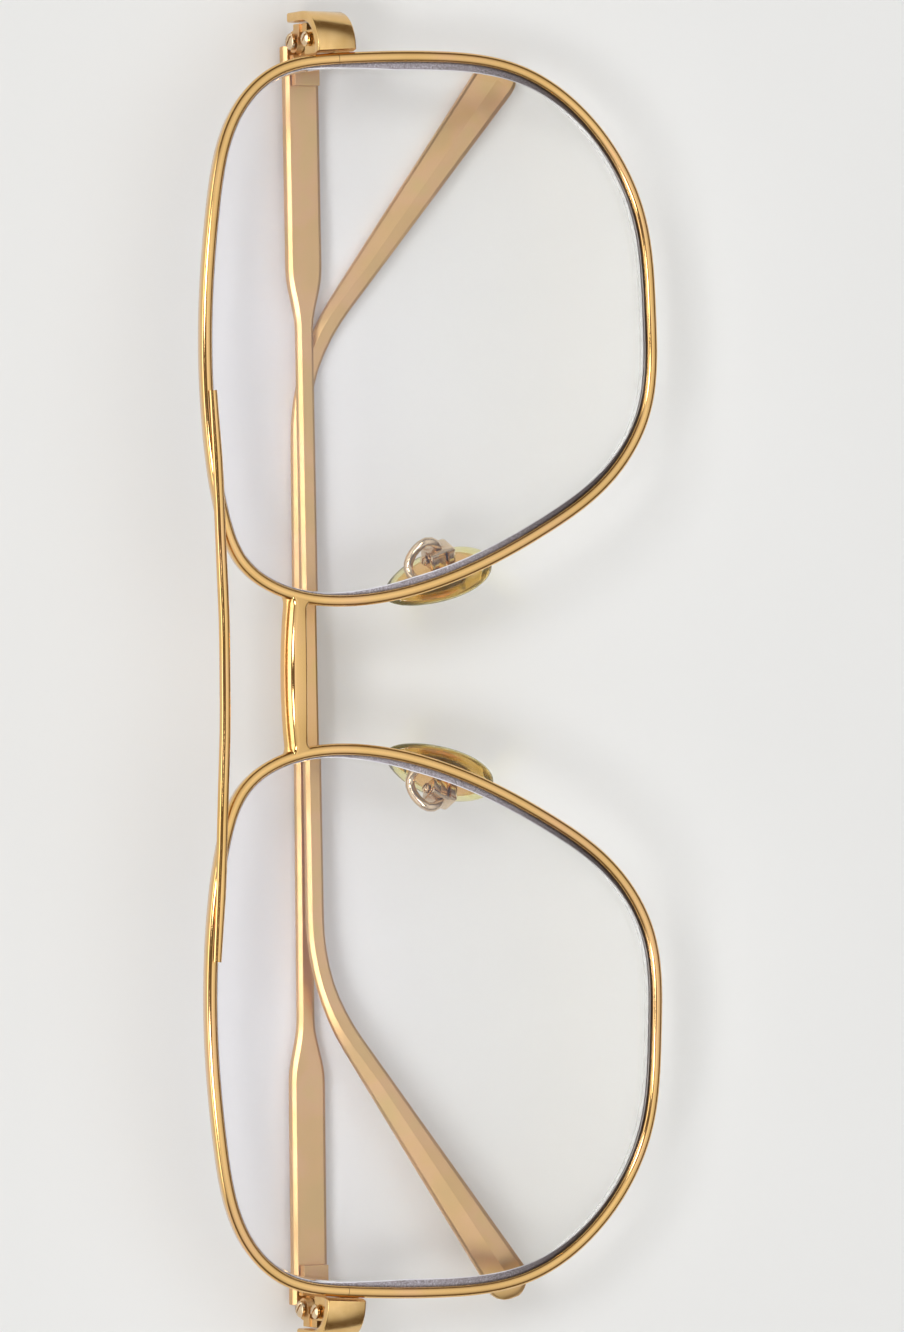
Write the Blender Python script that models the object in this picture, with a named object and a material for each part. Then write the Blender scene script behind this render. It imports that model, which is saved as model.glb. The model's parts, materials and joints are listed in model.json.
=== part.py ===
"""Folding metal navigator glasses with a double bridge, built at real size.

X runs across the wearer's face (+X is the wearer's left), Y points to the brow and Z is the outward
normal of the front. The glasses lie on their backs on the plane Z = 0 with both temples folded: the
left temple lies next to the lenses and the right temple lies under it. The lens centres are at Y = 0.
"""
import bmesh
import bpy
import numpy as np
from math import asin, cos, pi, radians, sin, sqrt, tan
from mathutils import Matrix, Vector

mm = 0.001

# Clearances
seam = 0.20 * mm            # brazed or seated faces that stay still
running = 0.15 * mm         # faces that move past each other
lens_play = 0.10 * mm       # lens edge to rim
overshoot = 1.0 * mm        # how far a bore's cutter runs past the piece
fusing = 0.1 * mm           # how far two shapes of one piece run into each other

# Front: the two lens openings and the curve that both lenses follow
opening_width = 57.6 * mm
opening_height = 52.6 * mm
nose_gap = 16.9 * mm        # between the two lens openings
front_radius = 130.0 * mm
wrap_shift = 6.0 * mm       # the curve's top lies this far from each lens centre, towards the nose
rim_stations = 80

# Rim wire, with the groove that holds the lens
rim_wall = 1.25 * mm
rim_depth = 1.9 * mm
rim_corner = 0.32 * mm
groove_depth = 0.50 * mm
groove_width = 0.90 * mm
groove_front = 0.50 * mm    # front face of the rim to the groove

# Lens
lens_thickness = 1.7 * mm
lens_set_back = 0.70 * mm   # front face of the rim to the lens

# Brow bar
bar_diameter = 1.2 * mm
bar_height = 25.6 * mm
bar_half_length = 30.3 * mm
bar_end_rise = 1.0 * mm
bar_proud = 0.10 * mm       # wire centre above the rims' front faces
bar_bow = 1.0 * mm
bar_end_diameter = 0.95 * mm

# Lower bridge
bridge_height = 15.8 * mm
bridge_tall = 2.3 * mm
bridge_deep = 2.0 * mm
bridge_arch = 1.4 * mm
bridge_bow = 0.9 * mm
bridge_corner = 0.4 * mm

# End piece: a flat strip that bends back from the rim to the hinge
hinge_height = 10.3 * mm
strip_tall = 4.6 * mm
strip_thick = 1.05 * mm
strip_corner = 0.22 * mm
strip_bend = 4.3 * mm       # outer radius of the bend
strip_overhang = 4.1 * mm   # outer face of the strip beyond the rim's outer side
strip_root = 1.5 * mm       # straight run from the bend towards the rim

# Hinge
pivot_depth = 7.5 * mm      # strip's front face to the hinge axis
knuckle_radius = 1.2 * mm
barrel_length = 3.3 * mm
middle_knuckle = 1.3 * mm
hinge_screw_radius = 0.50 * mm
hinge_head_radius = 0.90 * mm
screw_head_height = 0.45 * mm
screw_point = 0.25 * mm     # tapered end of a screw
screw_short = 0.1 * mm      # screw's end inside the piece it holds
front_leaf_length = 2.7 * mm
temple_leaf_length = 4.8 * mm
leaf_thick = 0.90 * mm
leaf_tall = 2.9 * mm

# Rim lock: the split block that closes the rim round the lens
lock_width = 2.6 * mm
lock_tall = 4.0 * mm
lock_back = 4.0 * mm        # strip's front face to the back of the block
lock_split = 0.25 * mm
lock_screw_radius = 0.45 * mm
lock_head_radius = 0.80 * mm

# Temples
temple_thick = 1.5 * mm
temple_tall = 4.0 * mm
plate_end = 24.5 * mm       # hinge axis to the start of the taper
taper_length = 6.5 * mm
shaft_tall = 1.9 * mm
shaft_thick = 1.2 * mm
temple_butt = 0.33 * mm     # hinge axis to the temple's square end
ear_corner = 102.0 * mm     # hinge axis to the corner of the ear bend
left_ear_drop = radians(34.6)
right_ear_drop = radians(37.4)
ear_radius = 24.0 * mm
tip_length = 41.4 * mm      # ear corner to the end of the tip
tip_tall = 4.9 * mm
tip_thick = 2.4 * mm
tip_flat = 0.02 * mm        # last section to the very end of the tip
left_overfold = radians(1.4)
right_overfold = radians(-0.3)

# Nose pads
pad_length = 13.5 * mm
pad_width = 8.1 * mm
pad_front_rise = 1.25 * mm
pad_back_rise = 0.95 * mm
pad_reach = 10.4 * mm       # pad centre from the middle of the front
pad_height = -2.7 * mm
pad_depth = 8.4 * mm        # top of the front's curve to the pad centre
pad_slope = radians(20)
pad_splay = radians(34)
pad_sides = 24
insert_share = 0.62         # outline of the metal insert as a share of the pad's
insert_thick = 0.45 * mm
pocket_depth = 0.65 * mm
lug_long = 1.0 * mm
lug_wide = 1.5 * mm
lug_end_radius = 0.75 * mm
pad_axis_depth = 3.2 * mm   # pad centre to the axis that the pad rocks on
box_long = 3.1 * mm
box_wide = 2.5 * mm
box_deep = 2.1 * mm
box_corner = 0.35 * mm
pad_screw_radius = 0.30 * mm
pad_head_radius = 0.55 * mm
pad_head_height = 0.35 * mm
arm_diameter = 1.0 * mm
arm_rise = 3.2 * mm         # foot of the pad arm on the rim, above the pad's centre

# The rim's outline, round the lens centre from the rim lock over the brow, the nose and the cheek.
# Each point is a share of half the width and half the height.
OUTLINE = [
    (0.984, 0.370), (0.936, 0.634), (0.803, 0.806), (0.439, 0.949), (-0.025, 1.005),
    (-0.443, 0.984), (-0.692, 0.930), (-0.858, 0.845), (-0.980, 0.617), (-1.000, 0.428),
    (-0.940, 0.030), (-0.731, -0.486), (-0.549, -0.777), (-0.299, -0.959), (0.060, -0.995),
    (0.438, -0.965), (0.736, -0.793), (0.952, -0.463), (1.000, -0.050),
]

eye_x = (nose_gap + opening_width) / 2
curve_top_x = eye_x - wrap_shift
rim_line = rim_wall / 2
strip_reach = eye_x + opening_width / 2 + rim_wall + strip_overhang


def dome(x, y):
    """Depth of the rims' front faces below the top of the front's curve."""
    return -((abs(x) - curve_top_x) ** 2 + y ** 2) / (2 * front_radius)


def dome_normal(x, y):
    """Outward direction of the left lens's curve: the rims and lenses are cut square to it."""
    return Vector(((x - curve_top_x) / front_radius, y / front_radius, 1)).normalized()


def below_dome(x, y, depth):
    """The point at a depth under the left lens's curve, measured square to it."""
    return Vector((x, y, dome(x, y))) - dome_normal(x, y) * depth


# Mesh helpers


def material(name, colour, roughness, metallic, transmission=0.0):
    mat = bpy.data.materials.new(name)
    mat.use_nodes = True
    shader = mat.node_tree.nodes["Principled BSDF"]
    shader.inputs["Base Color"].default_value = (*colour, 1)
    shader.inputs["Roughness"].default_value = roughness
    shader.inputs["Metallic"].default_value = metallic
    shader.inputs["Transmission Weight"].default_value = transmission
    mat.diffuse_color = (*colour, 1)
    return mat


def add_object(name, bm, mat):
    """Turns a bmesh into a linked object with outward faces."""
    bmesh.ops.recalc_face_normals(bm, faces=bm.faces)
    mesh = bpy.data.meshes.new(name)
    bm.to_mesh(mesh)
    bm.free()
    mesh.materials.append(mat)
    mesh.shade_smooth()
    mesh.set_sharp_from_angle(angle=radians(35))
    obj = bpy.data.objects.new(name, mesh)
    bpy.context.collection.objects.link(obj)
    return obj


def loft(sections, ring=False):
    """Skins a row of closed sections; a ring joins the last to the first, otherwise both ends are capped."""
    bm = bmesh.new()
    rows = [[bm.verts.new(point) for point in section] for section in sections]
    pairs = list(zip(rows, rows[1:]))
    if ring:
        pairs.append((rows[-1], rows[0]))
    for row, following in pairs:
        count = len(row)
        for k in range(count):
            bm.faces.new((row[k], row[(k + 1) % count], following[(k + 1) % count], following[k]))
    if not ring:
        bm.faces.new(rows[0])
        bm.faces.new(rows[-1])
    return bm


def domed_loft(first, sections, last):
    """Skins closed sections and closes both ends with a fan to one point."""
    bm = loft(sections)
    bmesh.ops.delete(bm, geom=[f for f in bm.faces if len(f.verts) > 4], context="FACES_ONLY")
    for centre, section in ((first, sections[0]), (last, sections[-1])):
        bm.verts.ensure_lookup_table()
        offset = 0 if section is sections[0] else len(sections[0]) * (len(sections) - 1)
        row = [bm.verts[offset + k] for k in range(len(section))]
        middle = bm.verts.new(centre)
        for k in range(len(row)):
            bm.faces.new((row[k], row[(k + 1) % len(row)], middle))
    return bm


def rounded_section(tall, thick, corner, steps=2):
    """Points of a rectangle with round corners, tall along the second axis."""
    corner = min(corner, 0.49 * tall, 0.49 * thick)
    points = []
    for turn, (sx, sy) in enumerate(((1, 1), (-1, 1), (-1, -1), (1, -1))):
        for step in range(steps + 1):
            angle = turn * pi / 2 + step * pi / 2 / steps
            points.append((
                sx * (thick / 2 - corner) + corner * cos(angle),
                sy * (tall / 2 - corner) + corner * sin(angle),
            ))
    return points


def sweep(path, side, up, section):
    """Places one section at each point of a path, on that point's side and up directions."""
    rows = []
    for point, a, b in zip(path, side, up):
        rows.append([point + a * p + b * q for p, q in section])
    return loft(rows)


def cylinder(start, end, radius, sides=20):
    """A plain closed cylinder between two points."""
    axis = (end - start).normalized()
    a = axis.orthogonal().normalized()
    b = axis.cross(a)
    rows = []
    for centre in (start, end):
        turns = [2 * pi * k / sides for k in range(sides)]
        rows.append([centre + (a * cos(t) + b * sin(t)) * radius for t in turns])
    return loft(rows)


def block(low, high):
    """A box between two corners."""
    rows = []
    for z in (low[2], high[2]):
        corners = ((low[0], low[1]), (high[0], low[1]), (high[0], high[1]), (low[0], high[1]))
        rows.append([Vector((x, y, z)) for x, y in corners])
    return loft(rows)


def prism(points, low, high):
    """Extrudes an outline given in X and Z along Y."""
    rows = []
    for y in (low, high):
        rows.append([Vector((x, y, z)) for x, z in points])
    return loft(rows)


def guide(name, bm):
    """A hidden shape that only cuts or joins other pieces."""
    obj = add_object(name, bm, gold)
    obj.hide_render = True
    obj.display_type = "WIRE"
    return obj


def combine(obj, other, operation):
    """Applies one Boolean and keeps the result as the object's own mesh."""
    modifier = obj.modifiers.new(operation.lower(), "BOOLEAN")
    modifier.operation = operation
    modifier.object = other
    modifier.solver = "EXACT"
    apply_modifiers(obj)


def apply_modifiers(obj):
    bpy.context.view_layer.update()
    graph = bpy.context.evaluated_depsgraph_get()
    mesh = bpy.data.meshes.new_from_object(obj.evaluated_get(graph))
    obj.modifiers.clear()
    old = obj.data
    obj.data = mesh
    mesh.name = obj.name
    bpy.data.meshes.remove(old)
    mesh.shade_smooth()
    mesh.set_sharp_from_angle(angle=radians(35))


def fuse(obj, *shapes):
    """Joins shapes into one body."""
    for number, bm in enumerate(shapes):
        helper = guide(f"{obj.name}_join_{number}", bm)
        combine(obj, helper, "UNION")
        bpy.data.objects.remove(helper, do_unlink=True)


def drill(obj, *shapes):
    """Cuts shapes out of a body."""
    for number, bm in enumerate(shapes):
        helper = guide(f"{obj.name}_cut_{number}", bm)
        combine(obj, helper, "DIFFERENCE")
        bpy.data.objects.remove(helper, do_unlink=True)


def mirrored(obj, name, parent=None):
    """The other side's copy of a piece, with its own mesh."""
    bm = bmesh.new()
    bm.from_mesh(obj.data)
    bmesh.ops.transform(bm, matrix=Matrix.Diagonal((-1, 1, 1, 1)), verts=bm.verts)
    bmesh.ops.reverse_faces(bm, faces=bm.faces)
    copy = add_object(name, bm, obj.data.materials[0])
    copy.parent = parent
    return copy


# Curves


def cubic_through(points, closed):
    """A dense smooth curve through the points, with chord lengths as its parameter."""
    pts = np.array([tuple(p) for p in points], dtype=float)
    if closed:
        pts = np.vstack([pts, pts[:1]])
    chord = np.linalg.norm(np.diff(pts, axis=0), axis=1)
    count = len(pts)
    system = np.zeros((count, count))
    right = np.zeros_like(pts)
    for k in range(1, count - 1):
        system[k, k - 1] = chord[k - 1]
        system[k, k] = 2 * (chord[k - 1] + chord[k])
        system[k, k + 1] = chord[k]
        right[k] = 6 * ((pts[k + 1] - pts[k]) / chord[k] - (pts[k] - pts[k - 1]) / chord[k - 1])
    if closed:
        system[0, 0] = 1
        system[0, -1] = -1
        system[-1, 0] = 2 * (chord[-1] + chord[0])
        system[-1, 1] = chord[0]
        system[-1, -2] = chord[-1]
        right[-1] = 6 * ((pts[1] - pts[0]) / chord[0] - (pts[-1] - pts[-2]) / chord[-1])
    else:
        system[0, 0] = 1
        system[-1, -1] = 1
    bend = np.linalg.solve(system, right)
    dense = []
    for k in range(count - 1):
        h = chord[k]
        for t in np.linspace(0, h, 60, endpoint=False):
            a, b = (h - t) / h, t / h
            dense.append(a * pts[k] + b * pts[k + 1]
                         + ((a ** 3 - a) * bend[k] + (b ** 3 - b) * bend[k + 1]) * h * h / 6)
    dense.append(pts[-1])
    return np.array(dense)


def spaced(dense, distances):
    """Points of a dense curve at the given distances along it."""
    steps = np.linalg.norm(np.diff(dense, axis=0), axis=1)
    along = np.concatenate([[0], np.cumsum(steps)])
    return [Vector([float(np.interp(d, along, dense[:, axis])) for axis in range(dense.shape[1])])
            for d in distances]


def curve_length(dense):
    return float(np.linalg.norm(np.diff(dense, axis=0), axis=1).sum())


def rim_points():
    """Middle line of the left rim's wire with its outward directions, from the split round to the split."""
    half_width = opening_width / 2 + rim_line
    half_height = opening_height / 2 + rim_line
    dense = cubic_through([(eye_x + u * half_width, v * half_height) for u, v in OUTLINE], closed=True)
    total = curve_length(dense)
    ends = lock_split / 2
    distances = np.linspace(ends, total - ends, rim_stations)
    points = spaced(dense, distances)
    step = total / 2000
    ahead = spaced(dense, distances + step)
    behind = spaced(dense, distances - step)
    outward = []
    for a, b in zip(ahead, behind):
        tangent = (a - b).normalized()
        outward.append(Vector((tangent.y, -tangent.x)))
    return points, outward


def nasal_point(points, height):
    """The point of the rim's middle line on the nose side that is nearest to a height."""
    return min((p for p in points if p.x < eye_x), key=lambda p: abs(p.y - height))


def ring_row(point, outward, profile):
    """One section of a piece that follows the rim: profile runs outward from the opening and down from the front."""
    normal = dome_normal(point.x, point.y)
    flat_out = Vector((outward.x, outward.y, 0))
    side = (flat_out - normal * flat_out.dot(normal)).normalized()
    front = Vector((point.x, point.y, dome(point.x, point.y)))
    return [front + side * (out - rim_line) + normal * down for out, down in profile]


# Front


def build_rim(points, outward):
    c = rim_corner
    groove_end = groove_front + groove_width
    profile = [
        (0, -c / 2), (0, -groove_front), (groove_depth, -groove_front - groove_width / 2),
        (0, -groove_end), (0, -rim_depth + c / 2), (c / 2, -rim_depth), (rim_wall - c, -rim_depth),
        (rim_wall, -rim_depth + c), (rim_wall, -c), (rim_wall - c, 0), (c / 2, 0),
    ]
    rows = [ring_row(p, n, profile) for p, n in zip(points, outward)]
    return add_object("rim_left", loft(rows), gold)


def rim_envelope(points, outward, above, below):
    """The space that the rim takes, with a seam's clearance: it trims whatever is brazed to the rim."""
    profile = [(-seam, above), (-seam, -rim_depth - below), (rim_wall + seam, -rim_depth - below),
               (rim_wall + seam, above)]
    rows = [ring_row(p, n, profile) for p, n in zip(points, outward)]
    return loft(rows, ring=True)


def build_lens(points, outward):
    """A curved sheet whose bevelled edge sits in the rim's groove."""
    edge = [
        (-lens_play, -lens_set_back), (groove_depth - lens_play, -groove_front - groove_width / 2),
        (-lens_play, -groove_front - groove_width), (-lens_play, -lens_set_back - lens_thickness),
    ]
    columns = [ring_row(p, n, edge) for p, n in zip(points, outward)]
    centre = Vector((eye_x, 0))

    def inner_ring(share, depth):
        flats = [centre.lerp(point, share) for point in points]
        return [below_dome(flat.x, flat.y, depth) for flat in flats]

    back = lens_set_back + lens_thickness
    rings = [inner_ring(0.35, lens_set_back), inner_ring(0.7, lens_set_back)]
    rings += [[column[k] for column in columns] for k in range(len(edge))]
    rings += [inner_ring(0.7, back), inner_ring(0.35, back)]
    bm = domed_loft(below_dome(eye_x, 0, lens_set_back), rings, below_dome(eye_x, 0, back))
    return add_object("lens_left", bm, clear_lens)


def build_brow_bar(trim):
    """A round wire laid over the fronts of both rims, tapered to square-cut ends."""
    half = []
    for share, rise in ((0.0, 0.0), (0.25, 0.0), (0.46, 0.04), (0.73, 0.38), (1.0, 1.0)):
        x = share * bar_half_length
        y = bar_height + rise * bar_end_rise
        z = dome(x, y) + bar_proud
        if x < nose_gap:
            z = dome(nose_gap, bar_height) + bar_proud + bar_bow * (1 - (x / nose_gap) ** 2)
        half.append(Vector((x, y, z)))
    route = [Vector((-p.x, p.y, p.z)) for p in reversed(half[1:])] + half
    dense = cubic_through(route, closed=False)
    total = curve_length(dense)
    count = 26
    path = spaced(dense, np.linspace(0, total, count))
    rows = []
    for k, point in enumerate(path):
        ahead = path[min(k + 1, count - 1)] - path[max(k - 1, 0)]
        side = ahead.cross(Vector((0, 0, 1))).normalized()
        up = side.cross(ahead).normalized()
        reach = min(1.0, (bar_half_length - abs(point.x)) / (0.3 * bar_half_length))
        radius = (bar_end_diameter + (bar_diameter - bar_end_diameter) * reach) / 2
        turns = [2 * pi * (j + 0.5) / 12 for j in range(12)]
        rows.append([point + (side * cos(t) + up * sin(t)) * radius for t in turns])
    bar = add_object("brow_bar", loft(rows), gold)
    drill(bar, *trim())
    return bar


def build_bridge(points, trim):
    """The lower bridge: a flat-faced bar that arches between the rims' nasal sides."""
    reach = nasal_point(points, bridge_height).x
    root = dome(reach, bridge_height) - bridge_deep / 2
    count = 15
    path = []
    for k in range(count):
        x = -reach + 2 * reach * k / (count - 1)
        arch = 1 - (x / reach) ** 2
        path.append(Vector((x, bridge_height + bridge_arch * arch, root + bridge_bow * arch)))
    side = []
    for k in range(count):
        ahead = (path[min(k + 1, count - 1)] - path[max(k - 1, 0)]).normalized()
        side.append(Vector((-ahead.z, 0, ahead.x)).normalized())
    up = [Vector((0, 1, 0))] * count
    section = rounded_section(bridge_tall, bridge_deep, bridge_corner)
    bridge = add_object("bridge", sweep(path, side, up, section), gold)
    drill(bridge, *trim())
    return bridge


# End piece, rim lock and hinge of the left side

strip_front = dome(eye_x + opening_width / 2, hinge_height)
pivot_x = strip_reach - temple_thick - (knuckle_radius + seam * 2)
pivot_z = strip_front - pivot_depth
strip_inner = strip_reach - strip_thick


def build_end_piece(trim):
    """A flat strip that leaves the rim flush with its front and bends back to the hinge."""
    middle = strip_bend - strip_thick / 2
    bend_x = strip_reach - strip_bend
    bend_z = strip_front - strip_bend
    end_z = pivot_z - temple_butt + running
    path = [Vector((bend_x - strip_root, hinge_height, strip_front - strip_thick / 2))]
    side = [Vector((0, 0, 1))]
    steps = 9
    for k in range(steps):
        angle = pi / 2 * (1 - k / (steps - 1))
        out = Vector((cos(angle), 0, sin(angle)))
        path.append(Vector((bend_x, hinge_height, bend_z)) + out * middle)
        side.append(out)
    path.append(Vector((bend_x + middle, hinge_height, end_z)))
    side.append(Vector((1, 0, 0)))
    up = [Vector((0, 1, 0))] * len(path)
    section = rounded_section(strip_tall, strip_thick, strip_corner)
    strip = add_object("end_piece_left", sweep(path, side, up, section), satin_gold)
    drill(strip, trim())
    return strip


def build_rim_lock(trim):
    """Two halves of the closing block, one on each end of the rim, with the bores of their screw."""
    inner = eye_x + opening_width / 2 + rim_wall / 2
    top = strip_front - strip_thick - seam
    bend_x = strip_reach - strip_bend
    bend_z = strip_front - strip_bend
    clear = strip_bend - strip_thick - seam
    outer = inner + lock_width
    shoulder_x = bend_x + clear * sin(radians(32))
    shoulder_z = bend_z + clear * cos(radians(32))
    corner_z = bend_z + sqrt(clear ** 2 - (outer - bend_x) ** 2)
    back = strip_front - lock_back
    outline = [(inner, top), (bend_x, top), (shoulder_x, shoulder_z), (outer, corner_z), (outer, back),
               (inner, back)]
    axis_x = inner + 0.62 * lock_width
    axis_z = (corner_z + back) / 2
    blocks = []
    for name, low, high in (("rim_lock_upper_left", lock_split / 2, lock_tall / 2),
                            ("rim_lock_lower_left", -lock_tall / 2, -lock_split / 2)):
        part = add_object(name, prism(outline, hinge_height + low, hinge_height + high), satin_gold)
        drill(part, trim())
        bore = cylinder(Vector((axis_x, hinge_height + low - overshoot, axis_z)),
                        Vector((axis_x, hinge_height + high + overshoot, axis_z)),
                        lock_screw_radius + running, 16)
        drill(part, bore)
        blocks.append(part)
    top_y = hinge_height + lock_tall / 2
    screw = screw_along(Vector((axis_x, hinge_height - lock_tall / 2 + seam, axis_z)),
                        Vector((axis_x, top_y + seam, axis_z)), lock_screw_radius, lock_head_radius,
                        screw_head_height)
    blocks.append(add_object("rim_lock_screw_left", screw, screw_gold))
    return blocks


def screw_along(foot, seat, radius, head_radius, head_height, sides=16):
    """A headed screw as one turned body with a domed head."""
    axis = (seat - foot).normalized()
    a = axis.orthogonal().normalized()
    b = axis.cross(a)
    profile = [(foot, radius * 0.7), (foot + axis * screw_point, radius), (seat, radius), (seat, head_radius),
               (seat + axis * head_height * 0.55, head_radius), (seat + axis * head_height, head_radius * 0.7)]
    rows = []
    for centre, reach in profile:
        turns = [2 * pi * k / sides for k in range(sides)]
        rows.append([centre + (a * cos(t) + b * sin(t)) * reach for t in turns])
    return loft(rows)


def hinge_heights():
    """The three knuckles' lower and upper ends on the hinge axis, from the bottom up."""
    half = barrel_length / 2
    mid = middle_knuckle / 2
    return (-half, -mid - running), (-mid, mid), (mid + running, half)


def build_front_leaf():
    """Two knuckles on a short plate brazed inside the end piece, in hinge coordinates."""
    wall = strip_inner - pivot_x - seam
    start = knuckle_radius + running
    leaf = add_object("hinge_leaf_front_left",
                      block((wall - leaf_thick, -leaf_tall / 2, start),
                            (wall, leaf_tall / 2, start + front_leaf_length - knuckle_radius)), satin_gold)
    low, _, high = hinge_heights()
    for bottom, top in (low, high):
        fuse(leaf, cylinder(Vector((0, bottom, 0)), Vector((0, top, 0)), knuckle_radius),
             block((knuckle_radius * 0.35, bottom, 0), (wall, top, start + fusing)))
    bore = cylinder(Vector((0, -barrel_length, 0)), Vector((0, barrel_length, 0)),
                    hinge_screw_radius + running, 16)
    drill(leaf, bore)
    return leaf


def build_temple_leaf():
    """One knuckle on a plate brazed to the temple's inner face, drawn with the temple open."""
    wall = knuckle_radius + seam
    start = knuckle_radius + running
    leaf = add_object("hinge_leaf_temple_left",
                      block((wall - leaf_thick, -leaf_tall / 2, -temple_leaf_length),
                            (wall, leaf_tall / 2, -start)), satin_gold)
    _, (bottom, top), _ = hinge_heights()
    fuse(leaf, cylinder(Vector((0, bottom, 0)), Vector((0, top, 0)), knuckle_radius),
         block((knuckle_radius * 0.3, bottom, -start - fusing), (wall, top, 0)))
    bore = cylinder(Vector((0, -barrel_length, 0)), Vector((0, barrel_length, 0)),
                    hinge_screw_radius + running, 16)
    drill(leaf, bore)
    return leaf


def build_hinge_screw():
    foot = Vector((0, -barrel_length / 2 + screw_short, 0))
    seat = Vector((0, barrel_length / 2 + seam, 0))
    screw = screw_along(foot, seat, hinge_screw_radius, hinge_head_radius, screw_head_height)
    return add_object("hinge_screw_left", screw, screw_gold)


# Temple, drawn open in hinge coordinates: it runs back along -Z with its outer face towards +X


def smooth_share(value, start, end):
    t = max(0.0, min(1.0, (value - start) / (end - start)))
    return t * t * (3 - 2 * t)


def temple_section(s):
    """Height, thickness and outline of the temple at a distance along it from the hinge axis.

    The outline's inner upper edge is bevelled: a narrow bevel on the plate that grows to a broad facet on the tip.
    """
    to_shaft = smooth_share(s, plate_end, plate_end + taper_length)
    to_tip = max(0.0, min(1.0, (s - ear_corner) / tip_length))
    tall = temple_tall + (shaft_tall - temple_tall) * to_shaft + (tip_tall - shaft_tall) * to_tip
    thick = temple_thick + (shaft_thick - temple_thick) * to_shaft + (tip_thick - shaft_thick) * to_tip
    facet = 0.10 + 0.12 * to_shaft
    if s > ear_corner:
        facet += 0.24 * smooth_share(s, ear_corner, ear_corner + tip_length / 3)
    fall = facet * tall
    cut = (0.15 + 0.6 * facet) * thick
    points = rounded_section(tall, thick, 0.3 * min(tall, thick))
    inner = -thick / 2
    upper = tall / 2
    points[3:6] = [(inner + 1.15 * cut, upper), (inner + 0.9 * cut, upper - 0.1 * fall), (inner, upper - fall)]
    return thick, points


def temple_line(ear_drop):
    """Points, downward directions and distances along the temple's middle line."""
    tangent = ear_radius * tan(ear_drop / 2)
    bend_start = ear_corner - tangent
    arc_length = ear_radius * ear_drop
    tip_start = bend_start + arc_length
    end = tip_start + tip_length - tangent
    flat = [temple_butt, plate_end * 0.5, plate_end]
    flat += [plate_end + taper_length * k / 6 for k in range(1, 7)]
    flat += [plate_end + taper_length + (bend_start - plate_end - taper_length) * k / 4 for k in range(1, 4)]
    arc = [bend_start + arc_length * k / 8 for k in range(9)]
    round_end = tip_tall * 0.5
    tip = [tip_start + (end - round_end - tip_start) * k / 6 for k in range(1, 7)]
    cap = [end - round_end * (1 - sin(pi / 2 * k / 5)) for k in range(1, 5)] + [end - tip_flat]
    line = []
    for s in flat + arc + tip + cap:
        if s <= bend_start:
            y, z, turn = 0, -s, 0
        elif s <= tip_start:
            turn = (s - bend_start) / ear_radius
            y = -ear_radius * (1 - cos(turn))
            z = -bend_start - ear_radius * sin(turn)
        else:
            turn = ear_drop
            run = s - tip_start
            y = -ear_radius * (1 - cos(ear_drop)) - run * sin(ear_drop)
            z = -bend_start - ear_radius * sin(ear_drop) - run * cos(ear_drop)
        shrink = 1.0
        if s > end - round_end:
            shrink = cos(asin(min(1.0, (s - end + round_end) / round_end)))
        line.append((s, y, z, turn, max(shrink, 0.12)))
    return line


def build_temple(name, ear_drop):
    """The whole temple with its integral tip, lofted from its sections."""
    rows = []
    outer = knuckle_radius + 2 * seam + temple_thick
    for s, y, z, turn, shrink in temple_line(ear_drop):
        thick, section = temple_section(s)
        middle = Vector((outer - thick / 2, y, z))
        side = Vector((1, 0, 0)) * (0.45 + 0.55 * shrink)
        up = Vector((0, cos(turn), -sin(turn))) * shrink
        rows.append([middle + side * p + up * q for p, q in section])
    return add_object(name, loft(rows), temple_gold)


# Nose pad of the left side, in pad coordinates: X along the pad, Y across it, Z towards the nose


def pad_ring(share, height):
    """The pad's egg-shaped outline, scaled and set at a height."""
    ring = []
    for k in range(pad_sides):
        angle = 2 * pi * k / pad_sides
        along = cos(angle) * pad_length / 2
        narrow = 1 - 0.16 * cos(angle)
        across = sin(angle) * pad_width / 2 * narrow
        ring.append(Vector((along * share, across * share, height)))
    return ring


def build_pad(frame):
    back = -pad_back_rise
    rings = [
        pad_ring(0.45, pad_front_rise * 0.95), pad_ring(0.80, pad_front_rise * 0.70),
        pad_ring(0.96, pad_front_rise * 0.25), pad_ring(1.0, -0.15 * pad_back_rise),
        pad_ring(0.96, -0.65 * pad_back_rise), pad_ring(0.86, back),
        pad_ring(insert_share + 0.06, back), pad_ring(insert_share + 0.06, back + pocket_depth),
        pad_ring(0.3, back + pocket_depth),
    ]
    bm = domed_loft(Vector((0, 0, pad_front_rise)), rings, Vector((0, 0, back + pocket_depth)))
    return place(add_object("nose_pad_left", bm, clear_pad), frame)


def build_insert(frame):
    """The metal plate in the pad's pocket, with the lug that the pad hangs on."""
    top = -pad_back_rise + pocket_depth - seam
    plate = domed_loft(Vector((0, 0, top)),
                       [pad_ring(insert_share, top), pad_ring(insert_share, top - insert_thick)],
                       Vector((0, 0, top - insert_thick)))
    insert = add_object("pad_insert_left", plate, gold)
    axis = -pad_axis_depth
    fuse(insert, block((-lug_long / 2, -lug_wide / 2, axis), (lug_long / 2, lug_wide / 2, top - fusing)),
         cylinder(Vector((-lug_long / 2, 0, axis)), Vector((lug_long / 2, 0, axis)), lug_end_radius))
    drill(insert, cylinder(Vector((-lug_long, 0, axis)), Vector((lug_long, 0, axis)),
                           pad_screw_radius + running, 12))
    return place(insert, frame)


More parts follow.
